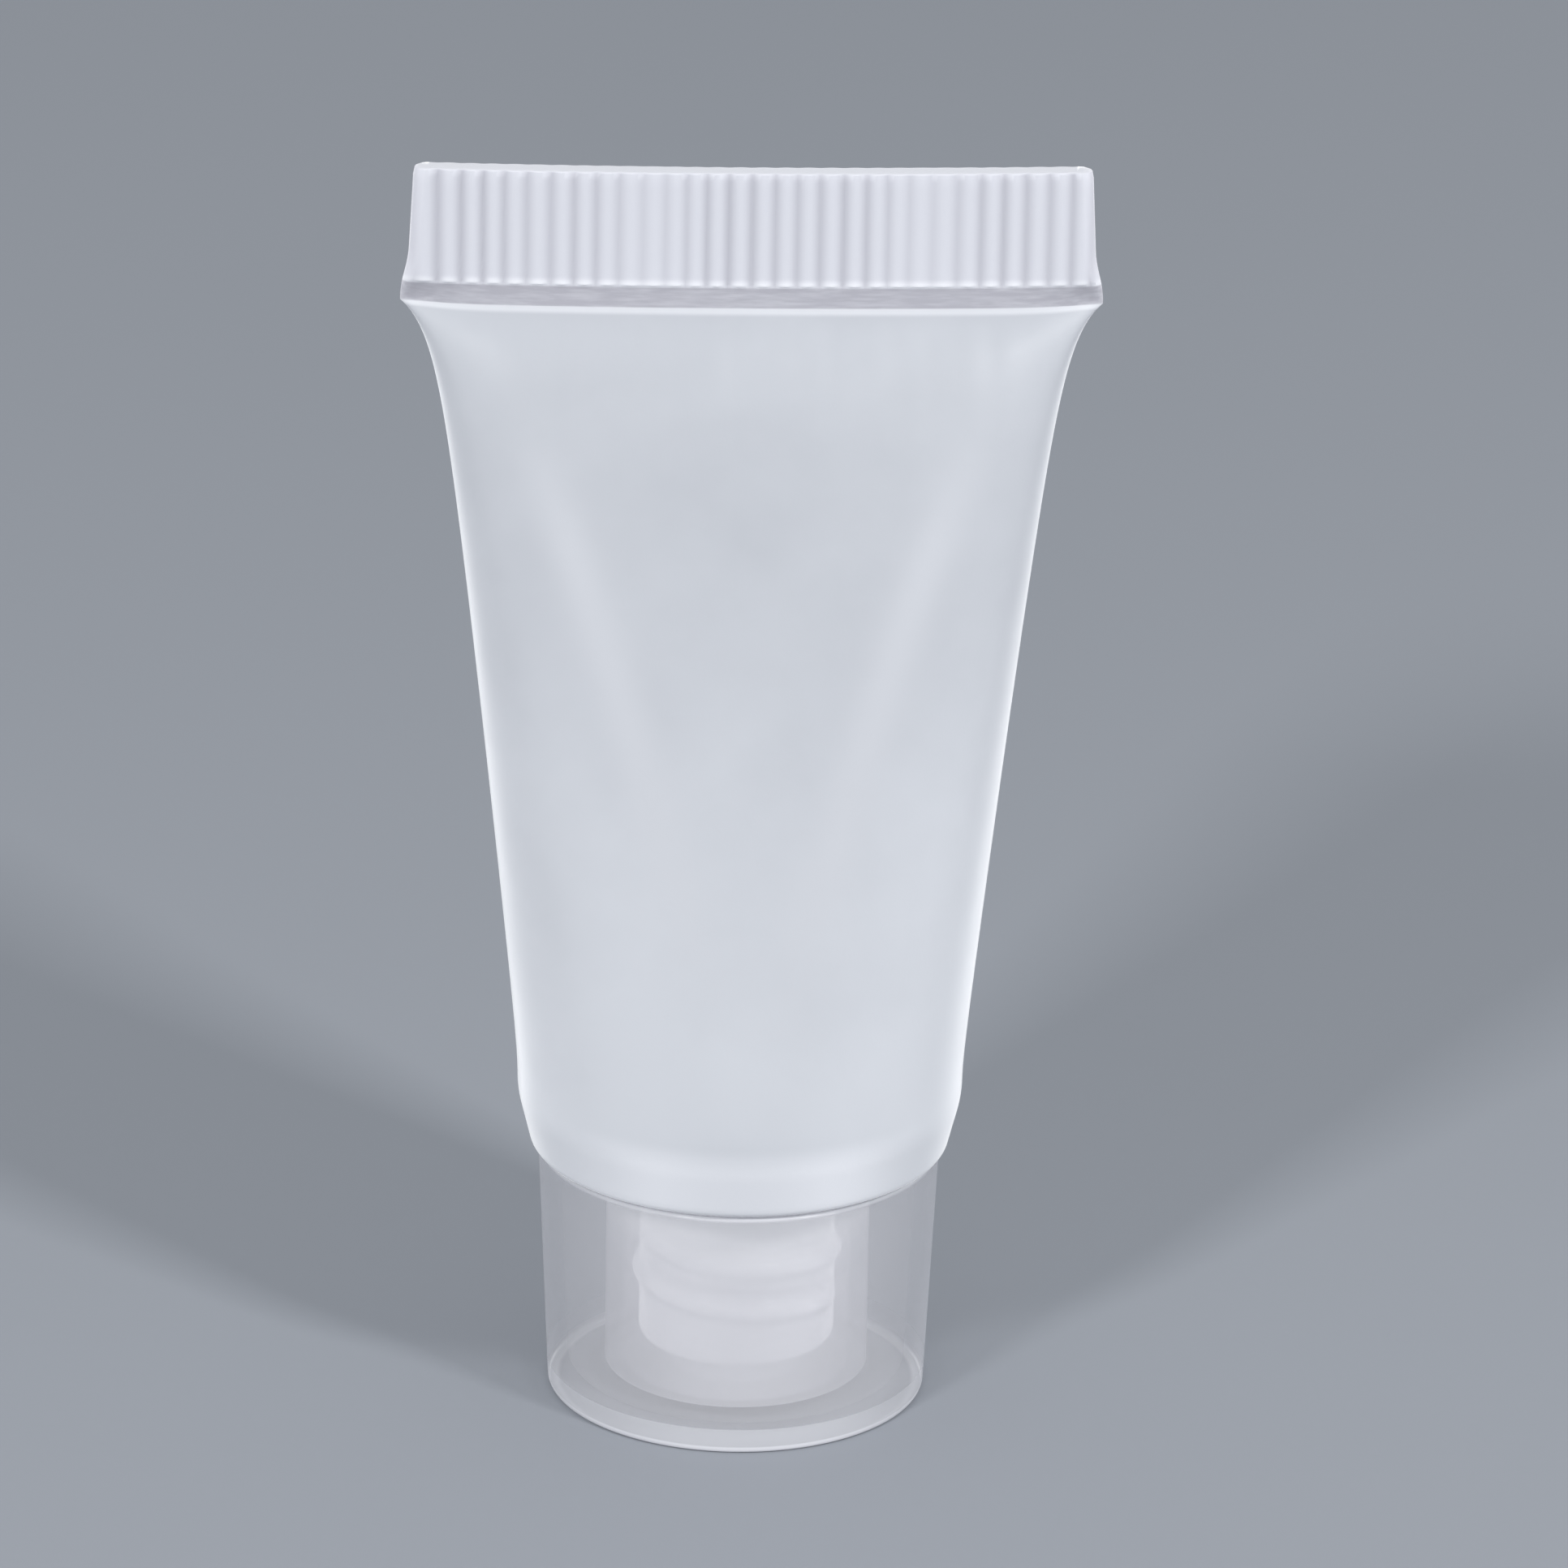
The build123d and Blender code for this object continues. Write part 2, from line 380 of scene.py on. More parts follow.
def closed_skin(rings):
    """Points and faces of a skin through closed rings, shut at both ends."""
    points, faces = weave(rings)
    faces += [face[::-1] for face in lid(0, len(rings[0]))]
    faces += lid(len(points) - len(rings[-1]), len(rings[-1]))
    return points, faces


def mesh_piece(name, points, faces, materials):
    """A smooth mesh object whose edges stay sharp past the crease angle."""
    mesh = bpy.data.meshes.new(name)
    mesh.from_pydata(points.tolist(), [], faces)
    mesh.polygons.foreach_set("use_smooth", [True] * len(mesh.polygons))
    mesh.set_sharp_from_angle(angle=CREASE)
    for material in materials:
        mesh.materials.append(material)
    mesh.update()
    piece = bpy.data.objects.new(name, mesh)
    bpy.context.scene.collection.objects.link(piece)
    return piece


def circle_ring(radius, height, many):
    """A ring of points round the axis; the radius may differ from point to point."""
    angles = -2 * pi * np.arange(many) / many
    radii = np.broadcast_to(radius, many)
    return np.stack([radii * np.cos(angles), radii * np.sin(angles), np.full(many, height)], axis=1)


def section_rings(section, many):
    """Rings that turn a section of (radius, height) points round the axis."""
    return [circle_ring(radius, height, many) for radius, height in section]


def rounded_section(corners):
    """Points along a section of (radius, height, rounding) corners, close together at each rounded corner."""
    spots = [complex(radius, height) for radius, height, _ in corners]
    section = [spots[0]]
    for before, corner, after, (_, _, rounding) in zip(spots, spots[1:], spots[2:], corners[1:]):
        back = (before - corner) / abs(before - corner)
        ahead = (after - corner) / abs(after - corner)
        section.append(corner + back * (rounding + FILLET_HOLD))
        for part in (0, *parts(FILLET_STEPS)):
            section.append(corner + rounding * (back * (1 - part) ** 2 + ahead * part**2))
        section.append(corner + ahead * (rounding + FILLET_HOLD))
    section.append(spots[-1])
    return [(spot.real, spot.imag) for spot in section]


def thread_ridge(height, many, start, cap):
    """Height of a right-hand thread's ridge round one ring."""
    turns = np.arange(many) / many
    half_width = cap.thread_width / 2
    ridge = np.zeros(many)
    for whole in range(int(cap.thread_turns) + 1):
        wound = turns + whole
        fade = smooth_step(0, THREAD_FADE, wound) * smooth_step(0, THREAD_FADE, cap.thread_turns - wound)
        away = np.abs(height - start - wound * cap.thread_pitch)
        ridge = np.maximum(ridge, fade * smooth_step(0, half_width, half_width - away))
    return ridge * cap.thread_height


class TubeForm:
    """The form of the tube: round at the shoulder, flat at the seal, with the same girth all the way up."""

    def __init__(self, sizes):
        self.sizes = sizes
        self.radius = sizes.diameter / 2
        self.middle_radius = self.radius - sizes.wall / 2
        self.full_flattening = 1 - sizes.wall / 2 / self.middle_radius
        self.round_flattening = sizes.round_flat / (pi * self.middle_radius)
        self.sleeve_base = sizes.shoulder_base + sizes.shoulder_height
        self.seal_base = self.sleeve_base + sizes.sleeve_length
        self.rib_base = self.seal_base + sizes.band_height
        self.top = self.rib_base + sizes.seal_height
        self.seal_half = pi / 2 * self.middle_radius * self.full_flattening + sizes.wall

    def shoulder_radius(self, height):
        """Outer radius of the shoulder: a cone that bends into the round sleeve."""
        s = self.sizes
        below = max(self.sleeve_base - height, 0)
        bend_rise = s.shoulder_bend * sin(s.shoulder_angle)
        if below < bend_rise:
            return self.radius - s.shoulder_bend + sqrt(s.shoulder_bend**2 - below**2)
        bend_inset = s.shoulder_bend * (1 - cos(s.shoulder_angle))
        return self.radius - bend_inset - (below - bend_rise) * tan(s.shoulder_angle)

    def flattening(self, height):
        """How far the sleeve has gone from round (0) to flat (1)."""
        s = self.sizes
        up = min(max(height - self.sleeve_base, 0), s.sleeve_length)
        gathered = s.flare_reach / (s.flare_reach + s.sleeve_length - up)
        gathered_at_base = s.flare_reach / (s.flare_reach + s.sleeve_length)
        flare = (gathered - gathered_at_base) / (1 - gathered_at_base)
        eased_length = s.sleeve_length**2 / (s.sleeve_length + s.round_length)
        even = up**2 / (up + s.round_length) / eased_length
        flattened = (1 - s.flare_share) * even + s.flare_share * flare
        return self.round_flattening + (self.full_flattening - self.round_flattening) * flattened

    def bow(self, x, height):
        """How far the film bends back towards the seal's ends."""
        reach = smooth_step(self.seal_base - BOW_LENGTH, self.seal_base, height)
        return self.sizes.seal_bow * reach * (x / self.seal_half) ** 2

    def ring(self, height, inset, many, softened=True):
        """Points round the tube at a height, evenly spaced along the film and drawn in by an inset."""
        flat = self.flattening(height)
        middle = self.shoulder_radius(height) - self.sizes.wall / 2
        bend = middle * (1 - flat)
        flat_half = pi / 2 * middle * flat
        outer = bend + self.sizes.wall / 2 - inset
        girth = 2 * pi * bend + 4 * flat_half

        # The section: two flats and two round ends, walked from the right end's middle
        along = girth * np.arange(many) / many
        near = np.minimum(along, girth - along)
        side = np.where(along < girth / 2, -1.0, 1.0)
        quarter = pi / 2 * bend
        right = np.clip(near / bend, 0, pi / 2)
        left = np.clip((near - quarter - 2 * flat_half) / bend, 0, pi / 2)
        straight = np.clip(near - quarter, 0, 2 * flat_half)
        x = flat_half - straight + outer * np.cos(right) - outer * np.sin(left)
        y = side * outer * np.sin(right) * np.cos(left)

        # Soft folds instead of sharp ones, where the shoulder no longer holds the film round
        soft_low, soft_high = SOFT_RISE
        soft = SOFT_WIDTH * smooth_step(self.sleeve_base + soft_low, self.sleeve_base + soft_high, height)
        waves = 2 * pi * np.arange(many // 2 + 1) / girth
        y = np.fft.irfft(np.fft.rfft(y) * np.exp(-((waves * softened * soft) ** 2) / 2), many)

        # Faint puckers that the seal's heat leaves under it
        below = max(self.seal_base - height, 0)
        pucker = PUCKER_HEIGHT * np.exp(-below / PUCKER_FADE) * smooth_step(0, PUCKER_START, below)
        inward = smooth_step(0, PUCKER_SIDE, flat_half + bend - np.abs(x))
        y = y + pucker * ripple(x, PUCKER_WAVES) * np.sign(y) * inward
        return np.stack([x, y + self.bow(x, height), np.full(many, height)], axis=1)

    def rib_relief(self, x):
        """Height of the ribs above their grooves across the strip, uneven as hot jaws press them."""
        s = self.sizes
        offset = x + (ripple(x, RIB_DRIFT) + 0.5) * s.rib_pitch
        groove = 1 - (0.5 + 0.5 * np.cos(2 * pi * offset / s.rib_pitch)) ** GROOVE_POWER
        bite = MEAN_BITE + ripple(x, RIB_BITE)
        return s.rib_depth * (1 - groove * np.minimum(bite, 1))

    def rib_light_share(self, ring):
        """How near each point of a ring is to a rib's crest, from 0 to 1, and less at the strip's ends; it
        weights the painted light on the crests against the painted shade in the grooves.
        """
        x = ring[:, 0]
        inward = smooth_step(0, END_FADE, np.abs(x).max() - np.abs(x))
        return self.rib_relief(x) / self.sizes.rib_depth * (END_SHARE + (1 - END_SHARE) * inward)

    def fold_highlight_share(self, ring):
        """How near each point of a ring is to the soft fold between flat face and round end, from 0 to 1; it
        weights the painted highlight along the fold.
        """
        height = ring[0, 2]
        fold = pi / 2 * self.middle_radius * self.flattening(height)
        rise_low, rise_high = FOLD_HIGHLIGHT_RISE
        fall_low, fall_high = FOLD_HIGHLIGHT_FALL
        fade = smooth_step(self.sleeve_base + rise_low, self.sleeve_base + rise_high, height)
        fade *= 1 - smooth_step(self.seal_base - fall_low, self.seal_base - fall_high, height)
        return fade * np.exp(-(((np.abs(ring[:, 0]) - fold) / FOLD_HIGHLIGHT_WIDTH) ** 2))

    def seal_ring(self, height, many):
        """Points round the ribbed strip or the band under it at a height."""
        s = self.sizes
        up = height - self.rib_base
        even = smooth_step(-s.band_height, STRIP_EVEN, up)
        soft_ring = self.ring(self.seal_base, 0, many)
        even_ring = self.ring(self.seal_base, 0, many, softened=False)
        ring = (1 - even) * soft_ring + even * even_ring

        # Half the width: a waist above the band, leaning sides and round top corners
        half = self.seal_half
        half -= s.seal_waist * smooth_step(-WAIST_START * s.band_height, WAIST_RISE, up)
        half -= s.seal_taper * max(up, 0) / s.seal_height
        into_corner = max(height - (self.top - s.seal_corner), 0)
        half -= s.seal_corner - sqrt(s.seal_corner**2 - into_corner**2)
        x = ring[:, 0] * half / self.seal_half

        # Half the thickness: film in the band, then ribs with a bead at their lower ends
        near_top = smooth_step(s.seal_height - TOP_FADE, s.seal_height, up)
        relief = self.rib_relief(x) * (1 - TOP_LOSS * near_top)
        ribbed = smooth_step(0, RIB_START, up)
        beaded = smooth_step(0, BEAD_LOW, up) * (1 - smooth_step(BEAD_LOW, BEAD_HIGH, up))
        groove = s.seal_thickness / 2 - s.rib_depth
        face = (1 - ribbed) * s.wall + ribbed * (groove + relief) + s.bead * beaded * relief / s.rib_depth
        ends = smooth_step(0, STRIP_END, half - np.abs(x))
        thick = s.wall + (face - s.wall) * ends
        bowed = self.bow(ring[:, 0], self.seal_base)
        y = (ring[:, 1] - bowed) / s.wall * thick + bowed
        return np.stack([x, y, np.full(many, height)], axis=1)


def film_rings(form):
    """Rings of the tube's outside, from the seal's top edge down to the shoulder's underside."""
    s = form.sizes
    top_ring = form.seal_ring(form.top, FILM_POINTS)
    bowed = form.bow(top_ring[:, 0], form.top)
    top_ring[:, 1] = bowed + (top_ring[:, 1] - bowed) * (1 - 2 * TOP_EDGE / s.seal_thickness)
    strip_top = form.top - TOP_EDGE
    strip = strip_top - form.rib_base - BEAD_RISES[0]
    rows = [strip_top - strip * step / STRIP_ROWS for step in range(STRIP_ROWS)]
    rows += [form.rib_base + rise for rise in BEAD_RISES]
    rows += [form.rib_base - s.band_height * part for part in parts(BAND_ROWS)]
    rings = [top_ring] + [form.seal_ring(height, FILM_POINTS) for height in rows]
    flare_base = form.seal_base - FLARE_LENGTH
    body = s.sleeve_length - FLARE_LENGTH
    shoulder = s.shoulder_height - s.shoulder_edge
    rows = [form.seal_base - FLARE_LENGTH * part**2 for part in parts(FLARE_ROWS)]
    rows += [flare_base - body * part for part in parts(BODY_ROWS)]
    rows += [form.sleeve_base - shoulder * part for part in parts(SHOULDER_ROWS)]
    rings += [form.ring(height, 0, FILM_POINTS) for height in rows]
    for part in parts(EDGE_ROWS):
        bend = pi / 2 * part
        height = s.shoulder_base + s.shoulder_edge * (1 - sin(bend))
        rings.append(form.ring(height, s.shoulder_edge * (1 - cos(bend)), FILM_POINTS))
    rings.append(circle_ring(s.neck_diameter / 2 + 2 * ROOT_RUN, s.shoulder_base, FILM_POINTS))
    return rings


def neck_rings(form, cap, floor):
    """Rings from the neck's root down its thread, through the orifice and up the bore to the chamber."""
    s = form.sizes
    neck = s.neck_diameter / 2
    bore = s.neck_bore / 2
    hole = s.orifice / 2
    lip_top = s.neck_end + s.neck_lip
    root = rounded_section([
        (neck + ROOT_RUN, s.shoulder_base, 0),
        (neck, s.shoulder_base, ROOT_FILLET),
        (neck, s.shoulder_base - ROOT_RUN, 0),
    ])
    mouth = rounded_section([
        (neck, s.neck_end + ROOT_RUN, 0),
        (neck, s.neck_end, s.neck_edge),
        (hole, s.neck_end, LIP_FILLET),
        (hole, lip_top, LIP_FILLET),
        (bore, lip_top, BORE_FILLET),
        (bore, floor, THROAT_FILLET),
        (form.shoulder_radius(floor) - s.wall - CHAMBER_FILLET, floor, 0),
    ])
    rings = section_rings(root, NECK_POINTS)
    for height in np.linspace(root[-1][1], mouth[0][1], NECK_ROWS)[1:-1]:
        ridge = thread_ridge(height, NECK_POINTS, s.thread_start, cap)
        rings.append(circle_ring(neck + ridge, height, NECK_POINTS))
    return rings + section_rings(mouth, NECK_POINTS)


def chamber_rings(form, floor):
    """Rings of the tube's inside, from the chamber's floor up to the seal's weld."""
    wall = form.sizes.wall
    rings = []
    for part in parts(FLOOR_BEND_ROWS):
        bend = pi / 2 * part
        height = floor + CHAMBER_FILLET * (1 - cos(bend))
        rings.append(form.ring(height, wall + CHAMBER_FILLET * (1 - sin(bend)), NECK_POINTS))
    low = floor + CHAMBER_FILLET
    flare_base = form.seal_base - FLARE_LENGTH
    weld = form.seal_base - WELD_GAP
    rows = [low + (flare_base - low) * part for part in parts(CHAMBER_ROWS)]
    rows += [weld - (weld - flare_base) * (1 - part) ** 2 for part in parts(CHAMBER_FLARE_ROWS)]
    return rings + [form.ring(height, wall, NECK_POINTS) for height in rows]


def tube_rings(form, cap):
    """Rings from the seal's top edge down the outside, through the neck and up the chamber to the weld."""
    floor = form.sizes.shoulder_base + form.sizes.shoulder_thickness
    return film_rings(form) + neck_rings(form, cap, floor) + chamber_rings(form, floor)


def cap_draft(s):
    """How much the skirt's radius grows for each unit of height."""
    return (s.rim_diameter - s.end_diameter) / 2 / s.height


def cap_rings(s, tube):
    """Rings of the cap's skin, from the end's middle round the rim to the tip of the plug."""
    end = s.end_diameter / 2
    rim = s.rim_diameter / 2
    floor = s.end_wall
    bore = s.collar_bore / 2
    collar = bore + s.collar_wall
    collar_top = s.height - s.collar_recess
    seat = s.seat_diameter / 2
    seat_top = floor + s.seat_height
    plug = s.plug_diameter / 2
    tip = plug - s.plug_length * tan(PLUG_TAPER)
    tip_top = seat_top + s.plug_length
    outside = rounded_section([
        (END_POLE, 0, 0),
        (end, 0, s.edge_radius),
        (rim, s.height, s.rim_radius),
        (rim - s.wall, s.height, s.rim_radius),
        (end + cap_draft(s) * floor - s.wall, floor, SKIRT_FILLET),
        (collar, floor, COLLAR_FOOT_FILLET),
        (collar, collar_top, COLLAR_TOP_FILLET),
        (bore, collar_top, COLLAR_MOUTH_FILLET),
        (bore, collar_top - COLLAR_MOUTH_RUN, 0),
    ])
    inside = rounded_section([
        (bore, floor + COLLAR_FOOT_RUN, 0),
        (bore, floor, COLLAR_FOOT_FILLET),
        (seat, floor, COLLAR_FOOT_FILLET),
        (seat, seat_top, SEAT_FILLET),
        (plug, seat_top, SEAT_FILLET),
        (tip, tip_top, TIP_FILLET),
        (TIP_POLE, tip_top, 0),
    ])
    rings = section_rings(outside, CAP_POINTS)
    thread_start = tube.thread_start + s.thread_pitch / 2
    for height in np.linspace(outside[-1][1], inside[0][1], COLLAR_ROWS)[1:-1]:
        ridge = thread_ridge(height, CAP_POINTS, thread_start, s)
        rings.append(circle_ring(bore - ridge, height, CAP_POINTS))
    return rings + section_rings(inside, CAP_POINTS)


def new_material(name):
    """An empty node material, its tree and its Principled shader."""
    material = bpy.data.materials.new(name)
    material.use_nodes = True
    tree = material.node_tree
    return material, tree, tree.nodes["Principled BSDF"]


def set_sockets(node, values):
    """Set a node's sockets to plain numbers and colours."""
    for name, value in values.items():
        node.inputs[name].default_value = value


def object_point(tree):
    """Socket with the point's place in the part's own frame."""
    return tree.nodes.new("ShaderNodeTexCoord").outputs["Object"]


def height_of(tree, point):
    """Socket with a point's height."""
    node = tree.nodes.new("ShaderNodeSeparateXYZ")
    tree.links.new(point, node.inputs["Vector"])
    return node.outputs["Z"]


def reach_of(tree, point, axes):
    """Socket with a point's distance from the origin, measured along the axes that have a 1."""
    level = tree.nodes.new("ShaderNodeVectorMath")
    level.operation = "MULTIPLY"
    level.inputs[1].default_value = axes
    tree.links.new(point, level.inputs[0])
    reach = tree.nodes.new("ShaderNodeVectorMath")
    reach.operation = "LENGTH"
    tree.links.new(level.outputs["Vector"], reach.inputs[0])
    return reach.outputs["Value"]


def stretched(tree, point, scale):
    """Socket with a point whose axes are scaled."""
    node = tree.nodes.new("ShaderNodeMapping")
    node.inputs["Scale"].default_value = scale
    tree.links.new(point, node.inputs["Vector"])
    return node.outputs["Vector"]


def noise(tree, point, scale, detail, roughness):
    """Socket with a soft noise between 0 and 1."""
    node = tree.nodes.new("ShaderNodeTexNoise")
    set_sockets(node, {"Scale": scale, "Detail": detail, "Roughness": roughness})
    tree.links.new(point, node.inputs["Vector"])
    return node.outputs["Fac"]


def ranged(tree, value, source, result, smooth=False):
    """Socket with a value moved from one range to another, and held at the range's ends."""
    node = tree.nodes.new("ShaderNodeMapRange")
    node.interpolation_type = "SMOOTHSTEP" if smooth else "LINEAR"
    set_sockets(node, dict(zip(("From Min", "From Max", "To Min", "To Max"), (*source, *result))))
    tree.links.new(value, node.inputs["Value"])
    return node.outputs["Result"]


def faded(tree, height, level, span, result):
    """Socket that eases from one result to another over a span of heights about a level."""
    start, stop = span
    return ranged(tree, height, (level + start, level + stop), result, smooth=True)


def joined(tree, operation, *numbers):
    """Socket with numbers joined by an operation, each a socket or a plain number."""
    node = tree.nodes.new("ShaderNodeMath")
    node.operation = operation
    for socket, number in zip(node.inputs, numbers):
        if isinstance(number, NodeSocket):
            tree.links.new(number, socket)
        else:
            socket.default_value = number
    return node.outputs["Value"]


def mixed(tree, factor, first, second):
    """Socket with a colour between two, each a socket or a plain colour."""
    node = tree.nodes.new("ShaderNodeMix")
    node.data_type = "RGBA"
    tree.links.new(factor, node.inputs[0])
    for socket, value in ((node.inputs[6], first), (node.inputs[7], second)):
        if isinstance(value, NodeSocket):
            tree.links.new(value, socket)
        else:
            socket.default_value = (*value, 1)
    return node.outputs[2]


def dimmed(tint, level):
    """A colour at a share of its brightness."""
    return tuple(level * part for part in tint)


def attribute(tree, name):
    """Socket with a number that the mesh carries at each point."""
    node = tree.nodes.new("ShaderNodeAttribute")
    node.attribute_name = name
    return node.outputs["Fac"]


def bumped(tree, height, strength, distance):
    """Socket with a normal that follows a height."""
    node = tree.nodes.new("ShaderNodeBump")
    set_sockets(node, {"Strength": strength, "Distance": distance})
    tree.links.new(height, node.inputs["Height"])
    return node.outputs["Normal"]


def sleeve_colour(tree, finish, form, point, height, cloud):
    """Socket with the sleeve's colour: clouded film, a painted highlight along the soft folds, a shoulder
    whiter where it is solid and painted lighter in front and behind than at its sides, painted light on the
    shoulder's lip and a painted highlight on the weld line.
    """
    s = form.sizes
    rise = ranged(tree, height, (form.sleeve_base + FILM_START, form.seal_base), (0, 1))
    shift = ranged(tree, cloud, NOISE_SPAN, (-0.5, 0.5))
    clouded = joined(tree, "MULTIPLY_ADD", shift, CLOUD_WEIGHT, rise)
    body = mixed(tree, clouded, finish.film, finish.film_high)
    # Painted highlight along the soft folds between flat face and round end
    fold_highlighted = mixed(tree, attribute(tree, "fold"), body, finish.fold)
    # Painted light: the solid shoulder and its lip are lighter in front and behind, fading towards the sides
    front_low, front_high = SHOULDER_LIT_FRONT
    aside = reach_of(tree, point, (1, 0, 0))
    front = ranged(tree, aside, (front_low * form.radius, front_high * form.radius), (1, 0), smooth=True)
    solid = faded(tree, height, s.shoulder_base + s.shoulder_thickness, SOLID_SPAN, (1, 0))
    shouldered = mixed(tree, joined(tree, "MULTIPLY", solid, front), fold_highlighted, finish.shoulder)
    # Painted light on the shoulder's lower edge, against the shade under it
    lip = faded(tree, height, s.shoulder_base + s.shoulder_edge, LIP_GLOW_SPAN, (1, 0))
    lip_glowed = mixed(tree, joined(tree, "MULTIPLY", lip, front), shouldered, finish.lip)
    # Painted highlight: the bright line where the flare turns into the fused band
    weld_highlight = faded(tree, height, form.seal_base, WELD_HIGHLIGHT_SPAN, (0, WELD_HIGHLIGHT_WEIGHT))
    return mixed(tree, weld_highlight, lip_glowed, finish.weld)


def strip_colour(tree, finish, form, point, height, sleeve):
    """Socket with the colour of the sleeve and of the streaked band, ribs with painted light on their crests
    and painted shade in their grooves, painted highlights on the beads, and the cut top above it.
    """
    streaks = noise(tree, stretched(tree, point, STREAK_STRETCH), scale=5200.0, detail=2.0, roughness=0.6)
    streak = ranged(tree, streaks, STREAK_SPAN, (0, STREAK_WEIGHT))
    band = mixed(tree, streak, finish.band, finish.weld)
    banded = mixed(tree, faded(tree, height, form.seal_base, FUSED_SPAN, (0, 1)), sleeve, band)
    crest = attribute(tree, "rib")
    # Painted light on the crests and painted shade in the grooves, following the relief
    ribs = mixed(tree, crest, finish.groove, finish.seal)
    # Painted highlight along the ribs' lower ends
    bead_highlight = faded(tree, height, form.rib_base, BEAD_HIGHLIGHT_SPAN, (1, 0))
    beaded = mixed(tree, joined(tree, "MULTIPLY", bead_highlight, crest), ribs, finish.bead)
    ribbed = mixed(tree, faded(tree, height, form.rib_base, RIBBED_SPAN, (0, 1)), banded, beaded)
    return mixed(tree, faded(tree, height, form.top, CUT_SPAN, (0, 1)), ribbed, finish.top)


def film_material(finish, form):
    """Milky soft film: a little uneven in density, greyer where its walls are fused, whiter in the ribs by
    painted light on their crests, with painted highlights along its folds, weld line and the ribs' lower
    ends.
    """
    material, tree, shader = new_material("milky_film")
    point = object_point(tree)
    height = height_of(tree, point)
    cloud = noise(tree, point, scale=160.0, detail=3.0, roughness=0.5)
    sleeve = sleeve_colour(tree, finish, form, point, height, cloud)
    tree.links.new(strip_colour(tree, finish, form, point, height, sleeve), shader.inputs["Base Color"])
    grain = noise(tree, point, scale=5200.0, detail=2.0, roughness=0.6)
    tree.links.new(bumped(tree, grain, strength=0.12, distance=0.00002), shader.inputs["Normal"])
    tree.links.new(ranged(tree, cloud, NOISE_SPAN, (0.46, 0.54)), shader.inputs["Roughness"])
    set_sockets(shader, {
        "IOR": 1.51,
        "Specular IOR Level": 0.3,
        "Subsurface Weight": 0.15,
        "Subsurface Radius": (1.0, 1.0, 1.0),
        "Subsurface Scale": 0.0006,
        "Sheen Weight": 0.8,
        "Sheen Roughness": 0.2,
    })
    return material


def neck_material(finish, sizes):
    """Thick frosted plastic, whiter at its root by painted light against the shade under the shoulder."""
    material, tree, shader = new_material("frosted_neck")
    point = object_point(tree)
    cloud = noise(tree, point, scale=300.0, detail=2.0, roughness=0.5)
    tint = mixed(tree, cloud, finish.neck, dimmed(finish.neck, level=0.95))
    # Painted light towards the root, against the shade under the shoulder
    root_light_span = (NECK_LIGHT_START * sizes.shoulder_base, sizes.shoulder_base)
    root = ranged(tree, height_of(tree, point), root_light_span, (0, 1), smooth=True)
    tree.links.new(mixed(tree, root, tint, finish.lit_neck_root), shader.inputs["Base Color"])
    tree.links.new(ranged(tree, cloud, NOISE_SPAN, (0.36, 0.44)), shader.inputs["Roughness"])
    return material


def cap_plastic(name, tint):
    """Clear moulded plastic with a faint frost and flow clouds; also its tree, shader and clouded colour."""
    material, tree, shader = new_material(name)
    cloud = noise(tree, object_point(tree), scale=240.0, detail=3.0, roughness=0.5)
    clouded = mixed(tree, cloud, tint, dimmed(tint, level=0.96))
    tree.links.new(clouded, shader.inputs["Base Color"])
    tree.links.new(ranged(tree, cloud, NOISE_SPAN, (0.24, 0.32)), shader.inputs["Roughness"])
    set_sockets(shader, {"IOR": 1.49, "Specular IOR Level": 0.0, "Coat Weight": 0.6, "Coat Roughness": 0.18})
    return material, tree, shader, clouded


def skirt_material(finish, sizes):
    """The cap's clear skirt: a thin veil, more solid at its end and rim and where seen along its wall."""
    material, tree, shader, _ = cap_plastic("clear_skirt", finish.cap)
    point = object_point(tree)
    height = height_of(tree, point)
    end_span = [part * sizes.end_wall for part in END_SPAN]
    end = ranged(tree, height, end_span, (finish.end_solidity, 0), smooth=True)
    edge_span = [part * sizes.edge_radius for part in EDGE_SPAN]
    edge = ranged(tree, height, edge_span, (finish.edge_solidity, 0), smooth=True)
    face_radius = sizes.end_diameter / 2 - sizes.edge_radius
    face_span = (face_radius - 2 * sizes.edge_radius, face_radius)
    face = ranged(tree, reach_of(tree, point, (1, 1, 0)), face_span, (finish.face_solidity, 1), smooth=True)
    foot = joined(tree, "MINIMUM", face, joined(tree, "MAXIMUM", end, edge))
    rim_span = (sizes.height - RIM_DEPTH * sizes.rim_radius, sizes.height)
    rim = ranged(tree, height, rim_span, (0, finish.rim_solidity), smooth=True)
    edge_on = tree.nodes.new("ShaderNodeLayerWeight").outputs["Facing"]
    veil = ranged(tree, edge_on, EDGE_ON_SPAN, (finish.skirt_solidity, finish.wall_solidity))
    solid = joined(tree, "MAXIMUM", foot, joined(tree, "MAXIMUM", rim, veil))
    tree.links.new(solid, shader.inputs["Alpha"])
    return material


def lining_material(finish):
    """The inside of the skirt and of the cap's end."""
    material, _, shader, _ = cap_plastic("skirt_lining", finish.cap)
    shader.inputs["Alpha"].default_value = finish.lining_solidity
    return material


